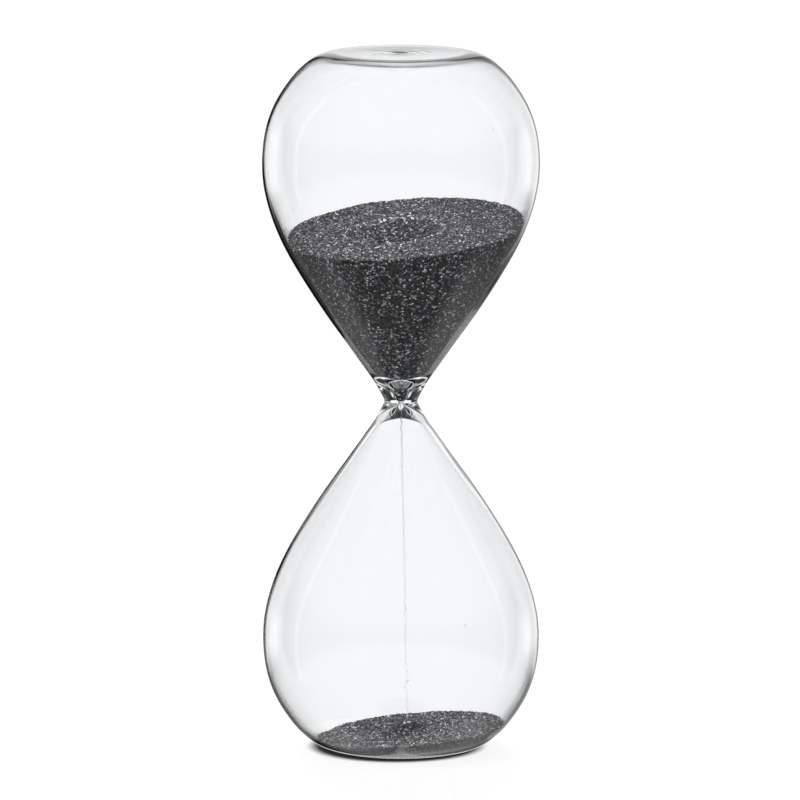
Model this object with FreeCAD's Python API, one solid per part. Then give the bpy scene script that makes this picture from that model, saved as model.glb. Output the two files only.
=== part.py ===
import FreeCAD, Part
import os
from math import atan2, cos, degrees, pi, radians, sin, sqrt, tan

# Free-standing sand timer: one hand-blown glass body made of two teardrop
# bulbs fused at a thick waist, flattened at both ends, filled with dark sand.
# Millimetres. +Z up, origin at the centre of the bottom face it stands on.

V = FreeCAD.Vector
os.makedirs("parts", exist_ok=True)

# ---------------------------------------------------------------- driving sizes
HEIGHT = 240.0            # over the two flat ends
NECK_Z = HEIGHT / 2       # the waist is halfway up
BULB_R = 47.4             # largest outer radius of a bulb (diameter 94.8)
BULB_R_AT = 82.0          # where it is largest, measured from the waist
WALL = 1.1                # glass thickness in the bulb
WALL_CONE = 1.8           # glass thickness in the cone near the waist
END_WALL = 1.4            # glass thickness of the flattened ends
NECK_R = 5.7              # outer radius of the waist
INNER_SHOULDER_AT = 115.8 # inner shoulder begins opposite this point of the wall
ORIFICE_R = 0.65          # metering hole in the waist
ORIFICE_HALF = 0.6        # half the straight length of that hole
WAIST_HALF = 8.0          # the waist piece reaches this far above and below
SEAL_R = 6.5              # fused glass plug in the filling hole of the top end
SAND_GAP = 0.10           # air between sand and glass

UPPER_LEVEL = 58.9        # sand level above the waist, on the axis
UPPER_TILT_X = 4.8        # degrees, right side higher
UPPER_TILT_Y = 6.2        # degrees, back higher
CRATER_R = 17.0           # funnel where the sand runs out
CRATER_DEPTH = 9.5
CRATER_AT = (-2.0, 0.0)

LOWER_LEVEL = -114.6      # sand level below the waist, on the axis
LOWER_TILT_X = 5.0
LOWER_TILT_Y = -1.8        # front higher
MOUND_R = 9.5             # fresh heap under the stream
MOUND_HEIGHT = 3.8
MOUND_AT = (2.2, -5.0)

STREAM_R = 0.42           # falling thread of sand

# outer profile of one bulb: distance from the waist, radius
OUTER = [
    (0.0, NECK_R), (2.4, 6.62), (5.5, 8.30), (10.9, 11.95), (19.2, 17.80),
    (27.4, 23.70), (35.6, 29.25), (43.8, 34.40), (52.0, 39.10), (60.2, 42.90),
    (68.4, 45.60), (76.6, 47.15), (BULB_R_AT, BULB_R), (87.5, 47.12),
    (93.0, 46.28), (98.5, 44.70), (103.9, 42.25), (109.0, 39.00),
    (113.2, 35.65), (116.4, 32.20),
]

# the metering hole opens into a narrow cup above and a wide funnel below
CUP = [(ORIFICE_HALF, ORIFICE_R), (1.4, 1.10), (2.4, 1.85), (3.8, 2.35), (5.3, 3.10), (6.8, 4.70)]
FUNNEL = [(ORIFICE_HALF, ORIFICE_R), (1.8, 1.20), (3.2, 2.50), (4.6, 4.20), (6.4, 6.20)]


def spline(points):
    """Smooth curve in the XZ plane through (distance from the waist, radius)."""
    curve = Part.BSplineCurve()
    curve.interpolate([V(r, 0, z) for z, r in points])
    return curve


# both bulbs share one outer curve, so the waist is smooth
outer_curve = spline([(-z, r) for z, r in OUTER[:0:-1]] + OUTER)


def shoulder_arc(point, slope, top):
    """Arc that leaves a wall of this slope and runs out flat at height top."""
    a = atan2(1.0, -slope)
    rho = (top - point.z) / (1 - cos(a))
    centre = V(point.x - rho * sin(a), 0, top - rho)
    mid = centre + V(rho * sin(a / 2), 0, rho * cos(a / 2))
    end = V(centre.x, 0, top)
    return Part.Arc(point, mid, end).toShape(), end


def outer_at(z):
    """Radius and slope of the outer wall at a distance z from the waist."""
    hi = outer_curve.LastParameter
    lo = (outer_curve.FirstParameter + hi) / 2
    for _ in range(60):
        mid = (lo + hi) / 2
        if outer_curve.value(mid).z < z:
            lo = mid
        else:
            hi = mid
    p, t = outer_curve.value(lo), outer_curve.tangent(lo)[0]
    return p.x, t.x / t.z


def wall_at(z):
    """Glass thickness, thicker in the cone than in the bulb."""
    f = min(max((z - 8.0) / 45.0, 0.0), 1.0)
    return WALL_CONE + (WALL - WALL_CONE) * f * f * (3 - 2 * f)


def inner_points(extra=0.0, mouth=CUP):
    """The inner wall as an offset of the outer one; extra moves it inwards."""
    pts = [(z + extra * 0.7, max(r - extra * 0.7, 0.3)) for z, r in mouth]
    for z in (9.2, 11.0, 14, 20, 27, 34, 41, 48, 55, 62, 69, 76, 82, 88, 94, 99.5, 104.5, 109.0, 112.8, INNER_SHOULDER_AT):
        r, m = outer_at(z)
        n = sqrt(1 + m * m)
        w = wall_at(z) + extra
        pts.append((z + w * m / n, r - w / n))
    return pts


def cavity(extra=0.0, mouth=CUP):
    """Closed solid that fills the inside of one bulb, drawn upwards from the waist."""
    pts = inner_points(extra, mouth)
    top = NECK_Z - END_WALL - extra
    curve = spline(pts)
    low, high = curve.value(curve.FirstParameter), curve.value(curve.LastParameter)
    leaving = curve.tangent(curve.LastParameter)[0]
    slope = leaving.x / leaving.z
    arc, flat_edge = shoulder_arc(high, slope, top)
    edges = [
        Part.makeLine(V(0, 0, low.z), low),
        curve.toShape(),
        arc,
        Part.makeLine(flat_edge, V(0, 0, top)),
        Part.makeLine(V(0, 0, top), V(0, 0, low.z)),
    ]
    face = Part.Face(Part.Wire(edges))
    return face.revolve(V(0, 0, 0), V(0, 0, 1), 360)


def outer_body():
    """Closed solid inside the outer wall of both bulbs, about the waist."""
    first, last = outer_curve.FirstParameter, outer_curve.LastParameter
    slope = outer_at(OUTER[-1][0])[1]
    arc_top, edge_top = shoulder_arc(outer_curve.value(last), slope, NECK_Z)
    arc_low = arc_top.copy()
    arc_low.rotate(V(0, 0, 0), V(1, 0, 0), 180)
    edge_low = V(edge_top.x, 0, -NECK_Z)
    edges = [
        Part.makeLine(V(0, 0, -NECK_Z), edge_low),
        arc_low,
        outer_curve.toShape(),
        arc_top,
        Part.makeLine(edge_top, V(0, 0, NECK_Z)),
        Part.makeLine(V(0, 0, NECK_Z), V(0, 0, -NECK_Z)),
    ]
    face = Part.Face(Part.Wire(Part.__sortEdges__(edges)))
    return face.revolve(V(0, 0, 0), V(0, 0, 1), 360)


def clean(shape):
    shape = shape.removeSplitter() if shape.ShapeType != "Solid" else shape
    solids = shape.Solids
    assert solids, "no solid"
    return solids[0] if len(solids) == 1 else Part.makeCompound(solids)


def flip(shape):
    """The lower bulb is the upper one turned over about the waist."""
    s = shape.copy()
    s.rotate(V(0, 0, 0), V(1, 0, 0), 180)
    return s


def lift(shape):
    s = shape.copy()
    s.translate(V(0, 0, NECK_Z))
    return s


# ---------------------------------------------------------------- glass
solid_body = outer_body()
hollow_up = cavity()
hollow_down = flip(cavity(mouth=FUNNEL))
over_waist = Part.makeCylinder(200, 300, V(0, 0, WAIST_HALF))
at_waist = Part.makeCylinder(200, 2 * WAIST_HALF, V(0, 0, -WAIST_HALF))
hole = Part.makeCylinder(ORIFICE_R, 2 * ORIFICE_HALF + 0.1, V(0, 0, -ORIFICE_HALF - 0.05))
seal_blank = Part.makeCone(SEAL_R - 0.7, SEAL_R, END_WALL + 0.02, V(0, 0, NECK_Z - END_WALL - 0.01))

bulb_shell = solid_body.common(over_waist).cut(hollow_up)
seal = bulb_shell.common(seal_blank)
upper_bulb = bulb_shell.cut(seal_blank)
lower_bulb = solid_body.common(flip(over_waist)).cut(hollow_down)
waist = solid_body.common(at_waist).cut(hollow_up).cut(hollow_down).cut(hole)

# ---------------------------------------------------------------- sand
sand_room = cavity(SAND_GAP)


def surface_tool(level, tilt_x, tilt_y, centre, dish_r, dish_h):
    """Everything above a sand surface: a tilted plane with a funnel cut into
    it (dish_h > 0) or a heap standing on it (dish_h < 0)."""
    block = Part.makeCylinder(90, 140)
    if dish_h > 0:
        tip = Part.makeCone(1.2, dish_r + 0.0, dish_h, V(0, 0, -dish_h))
        tool = block.fuse(tip)
    else:
        heap = Part.makeCone(dish_r, 1.6, -dish_h, V(0, 0, 0))
        tool = block.cut(heap)
    tool.rotate(V(0, 0, 0), V(0, 1, 0), -tilt_x)
    tool.rotate(V(0, 0, 0), V(1, 0, 0), tilt_y)
    z = level + centre[0] * tan(radians(tilt_x)) + centre[1] * tan(radians(tilt_y))
    tool.translate(V(centre[0], centre[1], z))
    return tool


upper_sand = sand_room.cut(
    surface_tool(UPPER_LEVEL, UPPER_TILT_X, UPPER_TILT_Y, CRATER_AT, CRATER_R, CRATER_DEPTH)
)
lower_sand = flip(cavity(SAND_GAP, FUNNEL)).cut(
    surface_tool(LOWER_LEVEL, LOWER_TILT_X, LOWER_TILT_Y, MOUND_AT, MOUND_R, -MOUND_HEIGHT)
)

# the falling thread runs from the metering hole to the top of the fresh heap
heap_top = (
    LOWER_LEVEL
    + MOUND_AT[0] * tan(radians(LOWER_TILT_X))
    + MOUND_AT[1] * tan(radians(LOWER_TILT_Y))
    + MOUND_HEIGHT
)
start = V(0, 0, ORIFICE_HALF - 0.15)
stop = V(MOUND_AT[0], MOUND_AT[1], heap_top + 0.25)
stream = Part.makeCylinder(STREAM_R, (stop - start).Length, start, stop - start)

nodes = {
    "upper_bulb": upper_bulb,
    "lower_bulb": lower_bulb,
    "waist": waist,
    "fill_seal": seal,
    "upper_sand": upper_sand,
    "lower_sand": lower_sand,
    "sand_stream": stream,
}

for name, shape in nodes.items():
    shape = clean(lift(shape))
    assert shape.isValid(), name
    shape.exportStep("parts/%s.step" % name)
    box = shape.BoundBox
    print(
        "%-12s %d solid(s) %9.1f mm3  x %.2f..%.2f  y %.2f..%.2f  z %.2f..%.2f"
        % (name, len(shape.Solids), shape.Volume, box.XMin, box.XMax, box.YMin, box.YMax, box.ZMin, box.ZMax)
    )
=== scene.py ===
import math

import bmesh
import bpy
import numpy as np
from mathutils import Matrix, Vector, noise


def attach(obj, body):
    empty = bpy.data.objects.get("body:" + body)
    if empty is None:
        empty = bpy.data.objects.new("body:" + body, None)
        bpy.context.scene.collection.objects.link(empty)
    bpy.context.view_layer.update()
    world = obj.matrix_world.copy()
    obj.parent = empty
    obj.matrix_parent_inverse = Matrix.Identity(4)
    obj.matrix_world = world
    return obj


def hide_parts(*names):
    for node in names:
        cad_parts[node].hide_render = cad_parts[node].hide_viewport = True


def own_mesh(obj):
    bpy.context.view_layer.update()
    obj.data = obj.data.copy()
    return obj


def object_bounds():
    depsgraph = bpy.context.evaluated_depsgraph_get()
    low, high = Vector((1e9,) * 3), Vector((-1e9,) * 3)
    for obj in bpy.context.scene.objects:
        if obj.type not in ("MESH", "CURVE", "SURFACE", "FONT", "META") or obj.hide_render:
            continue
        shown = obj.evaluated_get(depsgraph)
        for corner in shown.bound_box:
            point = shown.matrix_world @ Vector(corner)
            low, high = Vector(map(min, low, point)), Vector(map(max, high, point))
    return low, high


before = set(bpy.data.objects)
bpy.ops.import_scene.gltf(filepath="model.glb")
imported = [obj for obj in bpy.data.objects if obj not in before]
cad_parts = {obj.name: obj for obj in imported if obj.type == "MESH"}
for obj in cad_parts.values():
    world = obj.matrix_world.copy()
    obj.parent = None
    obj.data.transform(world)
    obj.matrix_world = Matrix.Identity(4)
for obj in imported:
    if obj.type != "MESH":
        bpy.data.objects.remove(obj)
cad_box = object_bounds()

MM = 0.001
TAU = 2 * math.pi

# ------------------------------------------------------------------ the design
# The same numbers as the CAD model, in millimetres from the waist.
HEIGHT = (cad_box[1][2] - cad_box[0][2]) / MM
NECK_Z = HEIGHT / 2
WALL, WALL_CONE, END_WALL = 1.1, 1.8, 1.4
NECK_R, ORIFICE_R, ORIFICE_HALF = 5.7, 0.65, 0.6
SAND_GAP = 0.10
OUTER = [
    (0.0, NECK_R), (2.4, 6.62), (5.5, 8.30), (10.9, 11.95), (19.2, 17.80),
    (27.4, 23.70), (35.6, 29.25), (43.8, 34.40), (52.0, 39.10), (60.2, 42.90),
    (68.4, 45.60), (76.6, 47.15), (82.0, 47.4), (87.5, 47.12),
    (93.0, 46.28), (98.5, 44.70), (103.9, 42.25), (109.0, 39.00),
    (113.2, 35.65), (116.4, 32.20),
]
CUP = [(ORIFICE_HALF, ORIFICE_R), (1.4, 1.10), (2.4, 1.85), (3.8, 2.35), (5.3, 3.10), (6.8, 4.70)]
FUNNEL = [(ORIFICE_HALF, ORIFICE_R), (1.8, 1.20), (3.2, 2.50), (4.6, 4.20), (6.4, 6.20)]
INNER_AT = (9.2, 11.0, 14, 20, 27, 34, 41, 48, 55, 62, 69, 76, 82, 88, 94, 99.5, 104.5, 109.0, 112.8, 115.8)

UPPER_LEVEL, UPPER_TILT = 58.9, (4.8, 6.2)
CRATER_R, CRATER_DEPTH, CRATER_AT = 17.0, 9.5, (-2.0, 0.0)
LOWER_LEVEL, LOWER_TILT = -114.6, (5.0, -1.8)
MOUND_R, MOUND_HEIGHT, MOUND_AT = 9.5, 3.8, (2.2, -5.0)
UPPER_TRAVEL, LOWER_TRAVEL = 48.0, 22.5


def natural_spline(points):
    """Cubic spline through the points, by chord length; returns f(t) for t in 0..1."""
    p = np.array(points, float)
    t = np.concatenate([[0], np.cumsum(np.hypot(*np.diff(p, axis=0).T))])
    t /= t[-1]
    n, h = len(p), np.diff(t)
    a = np.zeros((n, n)); b = np.zeros((n, 2))
    a[0, 0] = a[-1, -1] = 1
    for i in range(1, n - 1):
        a[i, i - 1], a[i, i], a[i, i + 1] = h[i - 1], 2 * (h[i - 1] + h[i]), h[i]
        b[i] = 6 * ((p[i + 1] - p[i]) / h[i] - (p[i] - p[i - 1]) / h[i - 1])
    m = np.linalg.solve(a, b)

    def f(s):
        s = np.clip(np.atleast_1d(s), 0, 1)
        i = np.clip(np.searchsorted(t, s, side="right") - 1, 0, n - 2)
        u, hi = (s - t[i])[:, None], h[i][:, None]
        w = hi - u
        return (m[i] * w**3 + m[i + 1] * u**3) / (6 * hi) + (p[i] / hi - m[i] * hi / 6) * w + (
            p[i + 1] / hi - m[i + 1] * hi / 6
        ) * u

    return f


outer_fine = natural_spline([(-z, r) for z, r in OUTER[:0:-1]] + OUTER)(np.linspace(0.5, 1, 6000))
outer_slope = np.gradient(outer_fine[:, 1], outer_fine[:, 0])


def outer_at(z):
    return (
        float(np.interp(z, outer_fine[:, 0], outer_fine[:, 1])),
        float(np.interp(z, outer_fine[:, 0], outer_slope)),
    )


def wall_at(z):
    f = min(max((z - 8.0) / 45.0, 0.0), 1.0)
    return WALL_CONE + (WALL - WALL_CONE) * f * f * (3 - 2 * f)


def shoulder(z, r, slope, top, steps):
    """The arc from a wall point to the flat end."""
    a = math.atan2(1.0, -slope)
    rho = (top - z) / (1 - math.cos(a))
    cx, cz = r - rho * math.sin(a), top - rho
    arc = [(cz + rho * math.cos(a * (1 - k / steps)), cx + rho * math.sin(a * (1 - k / steps))) for k in range(1, steps + 1)]
    return arc


def flat_points(z, r_edge, r_step):
    n = max(int(r_edge / r_step), 2)
    return [(z, r_edge * (1 - k / n)) for k in range(1, n)]


def resample(line, step):
    """Points along a polyline, about step apart; step is a function of (z, r)."""
    line = np.array(line)
    s = np.concatenate([[0], np.cumsum(np.hypot(*np.diff(line, axis=0).T))])
    out, at = [tuple(line[0])], 0.0
    while True:
        z, r = out[-1]
        at += step(z, r)
        if at >= s[-1]:
            break
        out.append((float(np.interp(at, s, line[:, 0])), float(np.interp(at, s, line[:, 1]))))
    out.append(tuple(line[-1]))
    return out


def glass_step(z, r):
    return 0.45 + 0.95 * min(abs(z) / 22.0, 1.0)


def outer_profile():
    """Upper half, from the waist to the axis at the top end."""
    wall = resample([tuple(p) for p in outer_fine[::10]], glass_step)
    z, r = wall[-1]
    arc = shoulder(z, r, outer_at(116.39)[1], NECK_Z, 7)
    return wall + arc + flat_points(NECK_Z, arc[-1][1], 0.62)


def inner_wall(extra=0.0, mouth=CUP):
    pts = [(z + extra * 0.7, max(r - extra * 0.7, 0.3)) for z, r in mouth]
    for z in INNER_AT:
        r, m = outer_at(z)
        n = math.sqrt(1 + m * m)
        w = wall_at(z) + extra
        pts.append((z + w * m / n, r - w / n))
    line = natural_spline(pts)(np.linspace(0, 1, 3000))
    return [tuple(p) for p in line]


def inner_profile(extra=0.0, step=glass_step, flat_step=0.62, mouth=CUP):
    line = inner_wall(extra, mouth)
    (z0, r0), (z1, r1) = line[-30], line[-1]
    wall = resample(line, step)
    arc = shoulder(z1, r1, (r1 - r0) / (z1 - z0), NECK_Z - END_WALL - extra, 7)
    return wall + arc + flat_points(NECK_Z - END_WALL - extra, arc[-1][1], flat_step)


# ------------------------------------------------------------------ hand-blown unevenness
def wobble(theta, z, seed, amount):
    """Slow unevenness of a blown wall, in mm."""
    v = Vector((1.1 * math.cos(theta) + seed, 1.1 * math.sin(theta) - seed, z / 38.0))
    return amount * noise.noise(v * 1.0)


def fine_wobble(theta, z, seed, amount):
    v = Vector((2.6 * math.cos(theta) - seed, 2.6 * math.sin(theta) + seed, z / 14.0))
    return amount * noise.noise(v)


def outer_offset(theta, z, r):
    f = min(abs(z) / 20.0, 1.0) * min(max((r - 2.0) / 20.0, 0.0), 1.0)
    return f * (wobble(theta, z, 3.1, 0.10) + fine_wobble(theta, z, 7.7, 0.025))


def inner_offset(theta, z, r):
    f = min(abs(z) / 22.0, 1.0) * min(max((r - 2.0) / 20.0, 0.0), 1.0)
    return f * (wobble(theta, z, 12.4, 0.16) + fine_wobble(theta, z, 5.2, 0.05)) - 0.0


def seal_ripple(x, y, seed):
    """The fused filling hole: uneven rings around the middle of the top end, in mm."""
    rho = math.hypot(x, y)
    a = math.atan2(y, x)
    warp = rho + 0.9 * noise.noise(Vector((math.cos(a) * 1.3 + seed, math.sin(a) * 1.3, rho / 6.0)))
    ring = 0.5 - 0.5 * math.cos(warp * TAU / 3.3)
    return ring * math.exp(-((warp / 6.2) ** 2)) + 0.35 * math.exp(-((warp / 2.0) ** 2))


def lathe(profile, segments, place):
    """Faces of a surface of revolution about Z, from the axis at one end to the axis at the other.
    profile: (z, r) rows, with the first and last on the axis; place(z, r, theta) gives the point."""
    verts, faces = [place(profile[0][0], 0.0, 0.0)], []
    rings = profile[1:-1]
    for z, r in rings:
        for k in range(segments):
            verts.append(place(z, r, TAU * k / segments))
    verts.append(place(profile[-1][0], 0.0, 0.0))
    last = len(verts) - 1
    for k in range(segments):
        faces.append((0, 1 + (k + 1) % segments, 1 + k))
    for i in range(len(rings) - 1):
        a, b = 1 + i * segments, 1 + (i + 1) * segments
        for k in range(segments):
            n = (k + 1) % segments
            faces.append((a + k, a + n, b + n, b + k))
    a = 1 + (len(rings) - 1) * segments
    for k in range(segments):
        faces.append((last, a + k, a + (k + 1) % segments))
    return verts, faces


def make_object(name, verts, faces, materials, smooth=True):
    mesh = bpy.data.meshes.new(name)
    mesh.from_pydata([tuple(v) for v in verts], [], faces)
    mesh.validate()
    mesh.update()
    obj = bpy.data.objects.new(name, mesh)
    bpy.context.scene.collection.objects.link(obj)
    for m in materials:
        mesh.materials.append(m)
    if smooth:
        mesh.polygons.foreach_set("use_smooth", [True] * len(mesh.polygons))
    return obj


def point(x, y, z):
    """Millimetres about the waist to metres in the row frame."""
    return (x * MM, y * MM, (z + NECK_Z) * MM)


# ------------------------------------------------------------------ node helpers
def new_material(name):
    m = bpy.data.materials.new(name)
    m.use_nodes = True
    nt = m.node_tree
    nt.nodes.clear()
    out = nt.nodes.new("ShaderNodeOutputMaterial")
    return m, nt, out


def node(nt, kind, **values):
    n = nt.nodes.new(kind)
    for k, v in values.items():
        if hasattr(n, k) and k not in n.inputs:
            setattr(n, k, v)
        else:
            n.inputs[k].default_value = v
    return n


def math_node(nt, op, a, b=None, clamp=False):
    n = nt.nodes.new("ShaderNodeMath")
    n.operation = op
    n.use_clamp = clamp
    for i, v in enumerate((a, b)):
        if v is None:
            continue
        if isinstance(v, (int, float)):
            n.inputs[i].default_value = v
        else:
            nt.links.new(v, n.inputs[i])
    return n.outputs[0]


def map_range(nt, value, a, b, c, d, kind="SMOOTHSTEP"):
    n = nt.nodes.new("ShaderNodeMapRange")
    n.interpolation_type = kind
    nt.links.new(value, n.inputs["Value"])
    for key, v in zip(("From Min", "From Max", "To Min", "To Max"), (a, b, c, d)):
        n.inputs[key].default_value = v
    return n.outputs["Result"]


def ramp(nt, value, stops, kind="LINEAR"):
    n = nt.nodes.new("ShaderNodeValToRGB")
    n.color_ramp.interpolation = kind
    while len(n.color_ramp.elements) < len(stops):
        n.color_ramp.elements.new(0.5)
    for e, (at, c) in zip(n.color_ramp.elements, stops):
        e.position = at
        e.color = (*c, 1) if len(c) == 3 else c
    nt.links.new(value, n.inputs["Fac"])
    return n.outputs["Color"]


# ------------------------------------------------------------------ materials
def glass_material():
    m, nt, out = new_material("clear_blown_glass")
    b = node(nt, "ShaderNodeBsdfPrincipled")
    b.inputs["Base Color"].default_value = (1, 1, 1, 1)
    b.inputs["Roughness"].default_value = 0.0
    b.inputs["IOR"].default_value = 1.47
    b.inputs["Transmission Weight"].default_value = 1.0
    v = node(nt, "ShaderNodeVolumeAbsorption")
    v.inputs["Color"].default_value = (0.72, 0.86, 0.95, 1)
    v.inputs["Density"].default_value = 6.0
    nt.links.new(b.outputs[0], out.inputs["Surface"])
    nt.links.new(v.outputs[0], out.inputs["Volume"])
    return m


def sand_material(name, gain=1.0, lip=None, heap=None, base_shade=False, bright=1.0):
    """Dry dark sand: every grain has its own tone, tilt and gloss, with painted shade in the pits between grains, and
    where asked painted light and shade at the crater lip, on the heap and towards the base.
    """
    m, nt, out = new_material(name)
    tc = node(nt, "ShaderNodeTexCoord")
    coord = tc.outputs["Object"]
    grains = nt.nodes.new("ShaderNodeTexVoronoi")
    grains.inputs["Scale"].default_value = 1 / (0.62 * MM)
    nt.links.new(coord, grains.inputs["Vector"])
    small = nt.nodes.new("ShaderNodeTexVoronoi")
    small.inputs["Scale"].default_value = 1 / (0.36 * MM)
    nt.links.new(coord, small.inputs["Vector"])
    drift = nt.nodes.new("ShaderNodeTexNoise")
    drift.inputs["Scale"].default_value = 1 / (7.0 * MM)
    drift.inputs["Detail"].default_value = 3
    nt.links.new(coord, drift.inputs["Vector"])

    split = nt.nodes.new("ShaderNodeSeparateColor")
    nt.links.new(grains.outputs["Color"], split.inputs[0])
    split2 = nt.nodes.new("ShaderNodeSeparateColor")
    nt.links.new(small.outputs["Color"], split2.inputs[0])

    g, h = gain, gain * bright
    tone = ramp(nt, split.outputs[0], [
        (0.00, (0.022 * g, 0.022 * g, 0.024 * g)),
        (0.40, (0.055 * g, 0.055 * g, 0.059 * g)),
        (0.72, (0.120 * g, 0.121 * g, 0.127 * g)),
        (0.88, (0.250 * h, 0.253 * h, 0.264 * h)),
        (0.96, (0.52 * h, 0.525 * h, 0.54 * h)),
        (1.00, (0.85 * h, 0.86 * h, 0.88 * h)),
    ])
    fine = map_range(nt, split2.outputs[1], 0, 1, 0.45, 1.55, "LINEAR")
    patch = map_range(nt, drift.outputs["Fac"], 0.25, 0.75, 0.86, 1.14)
    # painted shade: darker in the pits between grains
    pit_shade = map_range(nt, grains.outputs["Distance"], 0.35, 0.75, 1.0, 0.45)
    level = math_node(nt, "MULTIPLY", math_node(nt, "MULTIPLY", fine, patch), pit_shade)

    if lip is not None or heap is not None or base_shade:
        xyz = nt.nodes.new("ShaderNodeSeparateXYZ")
        nt.links.new(coord, xyz.inputs[0])
    if lip is not None:
        cx, cy, radius = (v * MM for v in lip)
        dx = math_node(nt, "SUBTRACT", xyz.outputs[0], cx)
        dy = math_node(nt, "SUBTRACT", xyz.outputs[1], cy)
        rho = math_node(nt, "SQRT", math_node(nt, "ADD", math_node(nt, "MULTIPLY", dx, dx), math_node(nt, "MULTIPLY", dy, dy)))
        ring = map_range(nt, math_node(nt, "ABSOLUTE", math_node(nt, "SUBTRACT", rho, radius)), 0.1 * MM, 1.1 * MM, 1.0, 0.0)
        # painted highlight: a bright ring of grains on the crater lip, the same all round
        level = math_node(nt, "MULTIPLY", level, math_node(nt, "ADD", math_node(nt, "MULTIPLY", ring, 1.5), 1.0))
        # painted shade: darker inside the crater bowl
        inside = map_range(nt, rho, 0.75 * radius, 0.97 * radius, 0.78, 1.0)
        level = math_node(nt, "MULTIPLY", level, inside)
    if heap is not None:
        # painted shade and painted highlight on the heap: a darker flank and a bright peak, the same all round
        cx, cy, radius = (v * MM for v in heap)
        hx = math_node(nt, "SUBTRACT", xyz.outputs[0], cx)
        hy = math_node(nt, "SUBTRACT", xyz.outputs[1], cy)
        rho = math_node(nt, "SQRT", math_node(nt, "ADD", math_node(nt, "MULTIPLY", hx, hx), math_node(nt, "MULTIPLY", hy, hy)))
        on_heap = map_range(nt, rho, 0.50 * radius, 1.05 * radius, 1.0, 0.0)
        painted_crest_highlight = map_range(nt, rho, 0.10 * radius, 0.24 * radius, 1.0, 0.0)
        shade = math_node(nt, "MULTIPLY", on_heap, math_node(nt, "SUBTRACT", 1.0, painted_crest_highlight))
        level = math_node(nt, "MULTIPLY", level, math_node(nt, "SUBTRACT", 1.0, math_node(nt, "MULTIPLY", shade, 0.50)))
        level = math_node(nt, "MULTIPLY", level, math_node(nt, "ADD", 1.0, math_node(nt, "MULTIPLY", painted_crest_highlight, 2.2)))
    if base_shade:
        # painted shade: darker towards the base glass, where next to no light reaches the packed sand
        # height above the base, which stays put when the sand rises
        place = node(nt, "ShaderNodeNewGeometry")
        above = nt.nodes.new("ShaderNodeSeparateXYZ")
        nt.links.new(place.outputs["Position"], above.inputs[0])
        shade = map_range(nt, above.outputs[2], 2.2 * MM, 10.0 * MM, 0.12, 0.80)
        level = math_node(nt, "MULTIPLY", level, shade)

    mul = nt.nodes.new("ShaderNodeVectorMath")
    mul.operation = "SCALE"
    nt.links.new(tone, mul.inputs[0])
    nt.links.new(level, mul.inputs["Scale"])

    # each grain is a rounded lump with its own facing
    bump = nt.nodes.new("ShaderNodeBump")
    bump.inputs["Strength"].default_value = 0.9
    bump.inputs["Distance"].default_value = 0.16 * MM
    dome = map_range(nt, grains.outputs["Distance"], 0.0, 0.8, 1.0, 0.0)
    facet = math_node(nt, "ADD", dome, math_node(nt, "MULTIPLY", split2.outputs[2], 0.35))
    nt.links.new(facet, bump.inputs["Height"])

    b = node(nt, "ShaderNodeBsdfPrincipled")
    nt.links.new(mul.outputs[0], b.inputs["Base Color"])
    rough = map_range(nt, split.outputs[2], 0, 1, 0.45, 0.85, "LINEAR")
    nt.links.new(rough, b.inputs["Roughness"])
    b.inputs["IOR"].default_value = 1.5
    b.inputs["Specular IOR Level"].default_value = 0.12
    nt.links.new(bump.outputs[0], b.inputs["Normal"])
    nt.links.new(b.outputs[0], out.inputs["Surface"])
    return m


glass_mat = glass_material()
# the top of the upper sand, with a painted highlight on the crater lip and painted shade inside the crater
sand_top_mat = sand_material("dark_sand_top_with_painted_crater_light", 2.0, lip=(CRATER_AT[0], CRATER_AT[1], CRATER_R))
# the top of the lower sand, with painted shade on the heap's flank and a painted highlight on its peak
sand_low_mat = sand_material("dark_sand_heap_with_painted_light_and_shade", 2.0, heap=(MOUND_AT[0], MOUND_AT[1], MOUND_R))
# painted shade: the sand seen against the glass is a darker copy of the same sand, about half as bright as the tops
sand_side_shaded_mat = sand_material("sand_at_glass_with_painted_shade", 0.95, bright=1.6)
# painted shade: a darker copy of the same sand, darkened further towards the base, for the sand against the lower glass
sand_base_shaded_mat = sand_material("sand_at_base_with_painted_shade", 0.9, base_shade=True)


def falling_grain_material():
    """Loose falling grains, pale and partly translucent: a lit copy of the dark sand, much paler than it, with painted
    light for the thin thread.
    """
    m, nt, out = new_material("falling_grains")
    geo = nt.nodes.new("ShaderNodeTexCoord")
    cells = nt.nodes.new("ShaderNodeTexVoronoi")
    cells.inputs["Scale"].default_value = 1 / (0.4 * MM)
    nt.links.new(geo.outputs["Object"], cells.inputs["Vector"])
    split = nt.nodes.new("ShaderNodeSeparateColor")
    nt.links.new(cells.outputs["Color"], split.inputs[0])
    tone = ramp(nt, split.outputs[0], [(0.0, (0.45, 0.45, 0.47)), (1.0, (0.92, 0.92, 0.93))])
    through = node(nt, "ShaderNodeBsdfTranslucent")
    skin = node(nt, "ShaderNodeBsdfDiffuse")
    nt.links.new(tone, through.inputs["Color"])
    nt.links.new(tone, skin.inputs["Color"])
    mix = nt.nodes.new("ShaderNodeMixShader")
    mix.inputs[0].default_value = 0.4
    nt.links.new(through.outputs[0], mix.inputs[1])
    nt.links.new(skin.outputs[0], mix.inputs[2])
    nt.links.new(mix.outputs[0], out.inputs["Surface"])
    return m


grain_mat = falling_grain_material()

# ------------------------------------------------------------------ the glass body
SEGMENTS = 192


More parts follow.
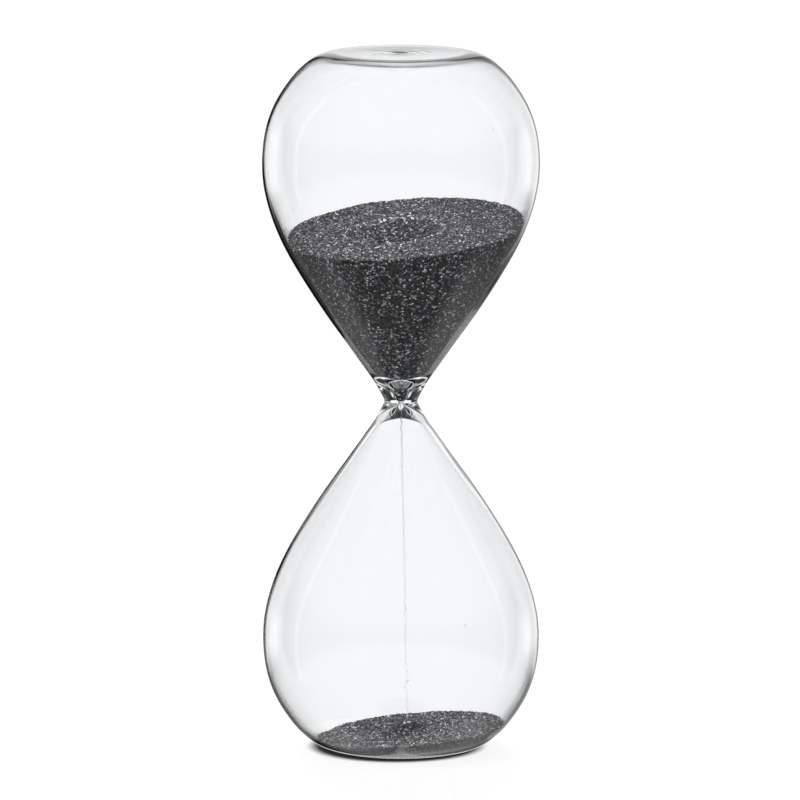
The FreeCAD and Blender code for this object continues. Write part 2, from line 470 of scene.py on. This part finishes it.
def glass_place_outer(z, r, theta):
    d = outer_offset(theta, z, r)
    x, y = (r + d) * math.cos(theta), (r + d) * math.sin(theta)
    if z > NECK_Z - 0.5:
        z -= 0.45 * seal_ripple(x, y, 1.0) + 0.10 * (1 - min(r / 23.0, 1.0) ** 2)
    elif z < -NECK_Z + 0.5:
        z += 0.25 * (1 - min(r / 21.0, 1.0) ** 2) if r < 21.0 else 0.0
    return point(x, y, z)


def glass_place_inner(z, r, theta):
    d = inner_offset(theta, z, r)
    x, y = (r + d) * math.cos(theta), (r + d) * math.sin(theta)
    if z > NECK_Z - END_WALL - 1.0:
        z -= 0.55 * seal_ripple(x, y, 4.0)
    return point(x, y, z)


half = outer_profile()
profile = [(-NECK_Z, 0.0)] + [(-z, r) for z, r in half[:0:-1]] + half + [(NECK_Z, 0.0)]
ov, of_ = lathe(profile, SEGMENTS, glass_place_outer)
half, low_half = inner_profile(), inner_profile(mouth=FUNNEL)
bore = [(z, ORIFICE_R) for z in (-0.3, 0.0, 0.3)]
inner_end = NECK_Z - END_WALL
profile = [(-inner_end, 0.0)] + [(-z, r) for z, r in low_half[::-1]] + bore + half + [(inner_end, 0.0)]
iv, if_ = lathe(profile, SEGMENTS, glass_place_inner)

verts, faces = list(ov), list(of_)
base = len(verts)
verts += iv
faces += [tuple(base + i for i in reversed(f)) for f in if_]


def seed_bubble(z, theta, depth, radius, stretch):
    """A tiny gas seed inside the wall: a closed surface facing inwards."""
    r_out, slope = outer_at(abs(z))
    wall = wall_at(abs(z))
    r = r_out - wall * depth
    bm = bmesh.new()
    bmesh.ops.create_icosphere(bm, subdivisions=2, radius=1.0)
    c = Vector((r * math.cos(theta), r * math.sin(theta), z))
    along = Vector((slope * math.copysign(1, z) * math.cos(theta), slope * math.copysign(1, z) * math.sin(theta), 1)).normalized()
    out = []
    for v in bm.verts:
        p = v.co * radius
        p += along * (p.dot(along)) * (stretch - 1)
        out.append(point(*(c + p)))
    fs = [tuple(reversed([v.index for v in f.verts])) for f in bm.faces]
    bm.free()
    return out, fs


rng = np.random.default_rng(41)
for _ in range(22):
    z = float(rng.choice([-1, 1]) * rng.uniform(30, 108))
    sv, sf = seed_bubble(z, float(rng.uniform(0, TAU)), float(rng.uniform(0.35, 0.65)), float(rng.uniform(0.07, 0.16)), float(rng.uniform(1.2, 2.8)))
    base = len(verts)
    verts += sv
    faces += [tuple(base + i for i in f) for f in sf]

glass = make_object("glass_body", verts, faces, [glass_mat])
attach(glass, "glass")
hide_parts("upper_bulb", "lower_bulb", "waist", "fill_seal")

# ------------------------------------------------------------------ room for the sand
def grain_noise(x, y, z, size):
    return noise.noise(Vector((x, y, z)) / size)


def room(name, lower, levels):
    """The inside of one bulb, less the air gap, with grain relief where sand can lie."""
    low, high = levels

    def step(z, r):
        return 0.55 if low - 2 < z < high + 2 else 2.2

    half = inner_profile(SAND_GAP, step, 2.0 if not lower else 1.2, FUNNEL if lower else CUP)
    start = half[0]
    rows = [(start[0], 0.0)] + half + [(NECK_Z - END_WALL - SAND_GAP, 0.0)]
    sign = -1 if lower else 1

    def place(z, r, theta):
        zz = sign * z
        d = inner_offset(theta, zz, r)
        rr = r + d
        if low - 2 < z < high + 2 and r > 0.8:
            x, y = r * math.cos(theta), r * math.sin(theta)
            rr -= 0.10 * (0.5 + 0.9 * grain_noise(x, y, zz, 0.75))
        return point(rr * math.cos(theta), rr * math.sin(theta), zz)

    v, f = lathe(rows, 352, place)
    if lower:
        f = [tuple(reversed(q)) for q in f]
    o = make_object(name, v, f, [sand_base_shaded_mat if lower else sand_side_shaded_mat])
    o.hide_render = True
    o.display_type = "WIRE"
    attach(o, "glass")
    return o


upper_room = room("upper_room", False, (0.6, 68.0))
lower_room = room("lower_room", True, (86.0, NECK_Z - END_WALL))


def sand_block(name, reach, spacing, height, bottom, material, side):
    """A block of sand whose top is a height field; the glass cuts its sides."""
    n = int(2 * reach / spacing) + 1
    axis = np.linspace(-reach, reach, n)
    verts = []
    rnd = np.random.default_rng(7 if "upper" in name else 11)
    jitter = rnd.uniform(-1, 1, (n, n, 3))
    for j in range(n):
        for i in range(n):
            edge = i in (0, n - 1) or j in (0, n - 1)
            x = axis[i] + (0 if edge else 0.22 * spacing * jitter[i, j, 0])
            y = axis[j] + (0 if edge else 0.22 * spacing * jitter[i, j, 1])
            verts.append(point(x, y, height(x, y) + 0.23 * jitter[i, j, 2]))
    top = len(verts)
    faces = []
    for j in range(n - 1):
        for i in range(n - 1):
            a = j * n + i
            faces.append((a, a + 1, a + n + 1, a + n))
    loop = [i for i in range(n)] + [j * n + n - 1 for j in range(1, n)] + [(n - 1) * n + i for i in range(n - 2, -1, -1)] + [j * n for j in range(n - 2, 0, -1)]
    for k in loop:
        x, y, _ = verts[k]
        verts.append((x, y, (bottom + NECK_Z) * MM))
    m = len(loop)
    for k in range(m):
        n2 = (k + 1) % m
        faces.append((loop[n2], loop[k], top + k, top + n2))
    verts.append((0, 0, (bottom + NECK_Z) * MM))
    c = len(verts) - 1
    for k in range(m):
        faces.append((c, top + (k + 1) % m, top + k))
    return make_object(name, verts, faces, [material, side], smooth=False)


def smooth_step(a, b, v):
    t = min(max((v - a) / (b - a), 0.0), 1.0)
    return t * t * (3 - 2 * t)


def upper_height(x, y):
    z = UPPER_LEVEL + x * math.tan(math.radians(UPPER_TILT[0])) + y * math.tan(math.radians(UPPER_TILT[1]))
    dx, dy = x - CRATER_AT[0], y - CRATER_AT[1]
    rho = math.hypot(dx, dy)
    a = math.atan2(dy, dx)
    lip = CRATER_R * (1 + 0.035 * noise.noise(Vector((math.cos(a) * 1.5, math.sin(a) * 1.5, 2.0))))
    if rho < lip:
        z -= CRATER_DEPTH * (1 - rho / lip) ** 1.02
    # a low rim where the slope breaks, and slow unevenness of a surface that was turned over
    z += 0.28 * math.exp(-(((rho - lip) / 0.8) ** 2))
    z += 0.30 * grain_noise(x, y, 0.0, 9.0) + 0.10 * grain_noise(x, y, 5.0, 2.6)
    return z


def lower_height(x, y):
    z = LOWER_LEVEL + x * math.tan(math.radians(LOWER_TILT[0])) + y * math.tan(math.radians(LOWER_TILT[1]))
    dx, dy = x - MOUND_AT[0], y - MOUND_AT[1]
    rho = math.hypot(dx, dy)
    a = math.atan2(dy, dx)
    foot = MOUND_R * (1 + 0.10 * noise.noise(Vector((math.cos(a) * 1.7 + 4, math.sin(a) * 1.7, 1.0))))
    if rho < foot:
        t = 1 - rho / foot
        z += MOUND_HEIGHT * (t ** 1.1) * 1.02
        z -= 0.55 * math.exp(-((rho / 1.3) ** 2))
    z += 0.22 * grain_noise(x, y, 9.0, 8.0) + 0.10 * grain_noise(x, y, 3.0, 2.4)
    return z


def cut_by(obj, cutter):
    b = obj.modifiers.new("inside_the_glass", "BOOLEAN")
    b.operation = "INTERSECT"
    b.object = cutter
    b.solver = "MANIFOLD"
    return b


upper_sand = sand_block("sand_upper", 50.0, 0.47, upper_height, -8.0, sand_top_mat, sand_side_shaded_mat)
cut_by(upper_sand, upper_room)
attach(upper_sand, "sand_above")
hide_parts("upper_sand")

lower_sand = sand_block("sand_lower", 50.0, 0.47, lower_height, -NECK_Z - LOWER_TRAVEL - 6.0, sand_low_mat, sand_base_shaded_mat)
cut_by(lower_sand, lower_room)
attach(lower_sand, "sand_below")
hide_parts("lower_sand")

# ------------------------------------------------------------------ the falling thread
def thread_of_grains():
    rnd = np.random.default_rng(23)
    start = Vector((0, 0, 0.35))
    stop = Vector((MOUND_AT[0], MOUND_AT[1], lower_height(*MOUND_AT) + 0.15))
    length = (stop - start).length
    bm = bmesh.new()
    bmesh.ops.create_icosphere(bm, subdivisions=1, radius=1.0)
    ball = [v.co.copy() for v in bm.verts]
    tris = [tuple(v.index for v in f.verts) for f in bm.faces]
    bm.free()
    verts, faces = [], []
    side = (stop - start).cross(Vector((0, 1, 0))).normalized()
    front = (stop - start).cross(side).normalized()
    count = 330
    for k in range(count):
        # grains are accelerated, so they thin out on the way down
        u = (k + rnd.uniform(0, 1)) / count
        f = (math.sqrt(0.04) + u * (math.sqrt(1.04) - math.sqrt(0.04))) ** 2 - 0.04
        s = f * length
        sway = 0.30 * math.sin(s / 0.55 + 1.3 * math.sin(s / 2.3)) * math.exp(-s / 26.0)
        spread = 0.20 + 0.16 * f
        p = start.lerp(stop, f) + side * (float(rnd.normal(0, spread)) * 0.8 + sway) + front * float(rnd.normal(0, spread)) * 0.8
        if s < 1.2:
            p = start.lerp(stop, f) + side * float(rnd.uniform(-0.3, 0.3)) + front * float(rnd.uniform(-0.3, 0.3))
        size = float(rnd.uniform(0.09, 0.17))
        scale = Vector((float(rnd.uniform(0.75, 1.25)), float(rnd.uniform(0.75, 1.25)), float(rnd.uniform(0.8, 1.6)))) * size
        base = len(verts)
        for v in ball:
            q = p + Vector((v.x * scale.x, v.y * scale.y, v.z * scale.z))
            verts.append(point(*q))
        faces += [tuple(base + i for i in t) for t in tris]
    return make_object("falling_grains", verts, faces, [grain_mat], smooth=True)


stream = thread_of_grains()
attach(stream, "glass")
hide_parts("sand_stream")
heap_z = (lower_height(*MOUND_AT) + NECK_Z) * MM
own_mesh(stream)

# ------------------------------------------------------------------ floor
def floor_material():
    m, nt, out = new_material("pale_floor")
    d = node(nt, "ShaderNodeBsdfDiffuse")
    tc = node(nt, "ShaderNodeTexCoord")
    n = nt.nodes.new("ShaderNodeTexNoise")
    n.inputs["Scale"].default_value = 3.0
    nt.links.new(tc.outputs["Object"], n.inputs["Vector"])
    nt.links.new(ramp(nt, n.outputs["Fac"], [(0.3, (0.10, 0.10, 0.10)), (0.7, (0.11, 0.11, 0.11))]), d.inputs["Color"])
    glow = node(nt, "ShaderNodeEmission")
    # painted shadow: the floor's emission fades to almost nothing under the foot of the glass, where no light gets
    xyz = nt.nodes.new("ShaderNodeSeparateXYZ")
    nt.links.new(tc.outputs["Object"], xyz.inputs[0])
    fx = math_node(nt, "ADD", xyz.outputs[0], 1.5 * MM)
    far = math_node(nt, "SQRT", math_node(nt, "ADD", math_node(nt, "MULTIPLY", fx, fx), math_node(nt, "MULTIPLY", xyz.outputs[1], xyz.outputs[1])))
    nt.links.new(map_range(nt, far, 26.5 * MM, 32.0 * MM, 0.01, 0.90), glow.inputs["Strength"])
    both = nt.nodes.new("ShaderNodeAddShader")
    nt.links.new(d.outputs[0], both.inputs[0])
    nt.links.new(glow.outputs[0], both.inputs[1])
    # the glass wall does not mirror the floor
    path = nt.nodes.new("ShaderNodeLightPath")
    clear = nt.nodes.new("ShaderNodeBsdfTransparent")
    pick = nt.nodes.new("ShaderNodeMixShader")
    nt.links.new(math_node(nt, "GREATER_THAN", path.outputs["Glossy Depth"], 0.5), pick.inputs[0])
    nt.links.new(both.outputs[0], pick.inputs[1])
    nt.links.new(clear.outputs[0], pick.inputs[2])
    nt.links.new(pick.outputs[0], out.inputs["Surface"])
    return m


def ring_mesh(name, r0, r1, z, material, segments=96):
    verts, faces = [], []
    for k in range(segments):
        a = TAU * k / segments
        verts += [(r0 * math.cos(a), r0 * math.sin(a), z), (r1 * math.cos(a), r1 * math.sin(a), z)]
    for k in range(segments):
        n = (k + 1) % segments
        faces.append((2 * k, 2 * k + 1, 2 * n + 1, 2 * n))
    if r0 == 0:
        faces = []
        verts = [(0, 0, z)] + [(r1 * math.cos(TAU * k / segments), r1 * math.sin(TAU * k / segments), z) for k in range(segments)]
        faces = [(0, 1 + k, 1 + (k + 1) % segments) for k in range(segments)]
    return make_object(name, verts, faces, [material], smooth=False)


floor_mat = floor_material()
pad = ring_mesh("floor_near", 0.0, 0.045, -0.0002, floor_mat)
pad.visible_diffuse = False
wide = ring_mesh("floor_wide", 0.045, 4.0, -0.0002, floor_mat)
wide.visible_transmission = False
wide.visible_glossy = False
pad.visible_glossy = False

# ------------------------------------------------------------------ light
world = bpy.data.worlds.new("studio")
bpy.context.scene.world = world
world.use_nodes = True
nt = world.node_tree
nt.nodes.clear()
out = nt.nodes.new("ShaderNodeOutputWorld")
tc = nt.nodes.new("ShaderNodeTexCoord")
xyz = nt.nodes.new("ShaderNodeSeparateXYZ")
nt.links.new(tc.outputs["Generated"], xyz.inputs[0])
dx, dy, dz = xyz.outputs
phi = math_node(nt, "ARCTAN2", dy, dx)



def mix_value(nt, f, a, b):
    n = nt.nodes.new("ShaderNodeMix")
    n.data_type = "FLOAT"
    for i, v in ((0, f), (2, a), (3, b)):
        if isinstance(v, (int, float)):
            n.inputs[i].default_value = v
        else:
            nt.links.new(v, n.inputs[i])
    return n.outputs[0]


def sine(deg):
    return math.sin(math.radians(deg))


def panel(at, half, low, high, soft_az=2.5, soft_el=3.0):
    """A bright panel of the room: azimuth and elevation limits in degrees, with soft edges."""
    d = math_node(nt, "ARCCOSINE", math_node(nt, "COSINE", math_node(nt, "SUBTRACT", phi, math.radians(at))))
    s = map_range(nt, d, math.radians(half), math.radians(half + soft_az), 1.0, 0.0)
    lo = map_range(nt, dz, sine(low - soft_el), sine(low), 0.0, 1.0)
    hi = map_range(nt, dz, sine(high), sine(high + soft_el), 1.0, 0.0)
    return math_node(nt, "MULTIPLY", math_node(nt, "MULTIPLY", s, lo), hi)


# seen through glass: a dark room with large bright panels, a bright ceiling and a pale floor
side = math_node(nt, "ADD", math_node(nt, "MULTIPLY", math_node(nt, "COSINE", phi), 0.50), 0.16, clamp=True)
dark = mix_value(nt, map_range(nt, dz, sine(1), sine(6), 0.0, 1.0), side, 0.012)
panels = panel(90, 25, -20, 16)
for at, half_w, low, high in ((135, 21, -38, -19), (180, 21, -16, 16), (315, 21, -28, 2)):
    panels = math_node(nt, "MAXIMUM", panels, panel(at, half_w, low, high))
PANEL = map_range(nt, dz, -0.20, -0.02, 1.02, 1.06)
room_light = mix_value(nt, panels, dark, PANEL)
room_light = mix_value(nt, map_range(nt, dz, sine(38), sine(48), 0.0, 1.0), room_light, 1.0)
room_light = mix_value(nt, map_range(nt, dz, sine(-42), sine(-50), 0.0, 1.0), room_light, 0.85)

# mirrored inside the glass wall: black close behind the object, white to both sides of that
def away(at_deg):
    """Angle in degrees, around the vertical, from a direction."""
    d = math_node(nt, "ARCCOSINE", math_node(nt, "COSINE", math_node(nt, "SUBTRACT", phi, math.radians(at_deg))))
    return math_node(nt, "MULTIPLY", d, 180 / math.pi)


back = away(90)
rightness = map_range(nt, math_node(nt, "COSINE", phi), -0.02, 0.02, 0.0, 1.0)
rim = mix_value(nt, rightness, 20.0, 15.0)
past_rim = map_range(nt, math_node(nt, "SUBTRACT", back, rim), 0.0, 4.0, 0.0, 1.0)
core = mix_value(nt, rightness, 0.01, 0.20)
not_low = map_range(nt, dz, -0.30, -0.18, 0.0, 1.0)
inside = mix_value(nt, map_range(nt, back, 52, 60, 0.0, 1.0), mix_value(nt, not_low, 0.12, 1.10), 0.16)
inside = mix_value(nt, past_rim, core, inside)
inside = mix_value(nt, map_range(nt, dz, 0.10, 0.34, 0.0, 1.0), inside, 0.85)
floor_glow = map_range(nt, dz, -0.45, -0.95, 0.0, 0.8)
floor_glow = math_node(nt, "MULTIPLY", floor_glow, map_range(nt, dy, -0.1, 0.2, 0.0, 1.0))

# mirrored in the outer skin: a thin white margin, black flags, white sides, two narrow strips, a dim front
def strip(at_deg, half_deg, level):
    return math_node(nt, "MULTIPLY", panel(at_deg, half_deg, -18, 38, half_deg * 0.8, 9.0), level)


mirrored = map_range(nt, dz, -0.2, 0.9, 0.10, 0.60)
mirrored = mix_value(nt, math_node(nt, "MULTIPLY", not_low, map_range(nt, back, 48, 58, 1.0, 0.0)), mirrored, 0.92)
mirrored = mix_value(nt, past_rim, core, mirrored)
mirrored = mix_value(nt, map_range(nt, back, 5, 8, 1.0, 0.0), mirrored, 1.0)
mirrored = math_node(nt, "ADD", mirrored, floor_glow)
for at, half_w, level in ((8, 2.0, 0.8), (172, 2.0, 0.8), (228, 10, 0.10), (312, 10, 0.10)):
    mirrored = math_node(nt, "ADD", mirrored, strip(at, half_w, level))

# what lights the sand and the floor: a soft ceiling and a broad lamp high behind the object
LAMP = (-0.10, math.cos(math.radians(30)), math.sin(math.radians(30)))
toward = math_node(nt, "MULTIPLY", dx, LAMP[0])
toward = math_node(nt, "ADD", toward, math_node(nt, "MULTIPLY", dy, LAMP[1]))
toward = math_node(nt, "ADD", toward, math_node(nt, "MULTIPLY", dz, LAMP[2]))
soft = map_range(nt, dz, 0.05, 0.75, 0.08, 0.55)
soft = math_node(nt, "ADD", soft, map_range(nt, toward, 0.84, 0.98, 0.0, 16.0))
soft = math_node(nt, "ADD", soft, map_range(nt, dy, -0.40, -0.95, 0.0, 1.15))

lp = nt.nodes.new("ShaderNodeLightPath")
went_through = math_node(nt, "GREATER_THAN", lp.outputs["Transmission Depth"], 0.5)
was_mirrored = math_node(nt, "GREATER_THAN", lp.outputs["Glossy Depth"], 0.5)
was_guided = math_node(nt, "GREATER_THAN", lp.outputs["Glossy Depth"], 2.5)
lit = math_node(nt, "GREATER_THAN", lp.outputs["Diffuse Depth"], 0.5)
value = mix_value(nt, was_mirrored, room_light, mix_value(nt, was_guided, inside, 0.85))
value = mix_value(nt, went_through, mirrored, value)
value = mix_value(nt, lit, value, soft)
value = mix_value(nt, lp.outputs["Is Camera Ray"], value, 1.05)
bg = nt.nodes.new("ShaderNodeBackground")
bg.inputs["Color"].default_value = (0.985, 0.99, 1.0, 1)
nt.links.new(value, bg.inputs["Strength"])
nt.links.new(bg.outputs[0], out.inputs["Surface"])

# ------------------------------------------------------------------ camera
ELEVATION, DISTANCE, FRAME_MM = 9.0, 3.0, 273.8
aim = Vector((-0.0003, 0.0, 0.1203))
e = math.radians(ELEVATION)
cam_data = bpy.data.cameras.new("camera")
cam_data.sensor_width = 36.0
cam_data.lens = 36.0 * DISTANCE * 1000 / FRAME_MM
cam_data.clip_end = 50
cam = bpy.data.objects.new("camera", cam_data)
cam.location = aim + Vector((0, -DISTANCE * math.cos(e), DISTANCE * math.sin(e)))
cam.rotation_euler = (aim - cam.location).to_track_quat("-Z", "Y").to_euler()
bpy.context.scene.collection.objects.link(cam)
bpy.context.scene.camera = cam
bpy.context.scene.view_settings.view_transform = "Standard"
